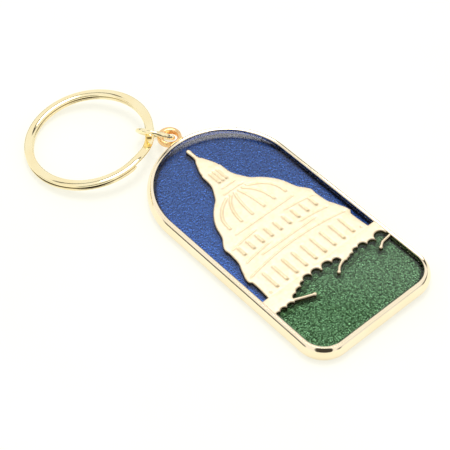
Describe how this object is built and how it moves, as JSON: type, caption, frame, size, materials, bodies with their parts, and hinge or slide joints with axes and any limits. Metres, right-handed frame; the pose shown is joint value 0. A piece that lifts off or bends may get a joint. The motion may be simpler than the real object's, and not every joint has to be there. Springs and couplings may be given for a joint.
{
  "type": "keychain",
  "caption": "Arched metal souvenir fob with a domed building in relief and translucent enamel, on a jump ring and a split ring.",
  "frame": {"origin": "centre of the fob's arch, on its flat back face", "axes": "+Y along the fob towards its ear, +Z out of the decorated face, +X to the right as the face is seen"},
  "size_m": [0.0392, 0.0795, 0.0063],
  "materials": {
    "fob_gold": "polished gold plating on the rim, satin on the relief",
    "enamel_blue": "translucent gloss enamel over a stippled ground",
    "enamel_green": "translucent gloss enamel over a stippled ground",
    "ring_gold": "polished gold plating"
  },
  "bodies": {
    "fob": {"fob_casting": "fob_gold", "blue_enamel": "enamel_blue", "green_enamel": "enamel_green"},
    "link": {"jump_ring": "ring_gold"},
    "key_ring": {"split_ring": "ring_gold"}
  },
  "joints": [
    {"name": "jump_ring_swivel", "type": "hinge", "parent": "fob", "child": "link", "pos_m": [0, 0.0164, 0.00235], "axis": [0, 0, 1], "range_deg": [-95, 8]},
    {"name": "split_ring_lift", "type": "hinge", "parent": "link", "child": "key_ring", "pos_m": [-0.00273, 0.01939, 0.004], "axis": [0.6157, 0.788, 0], "range_deg": [0, 160]}
  ]
}
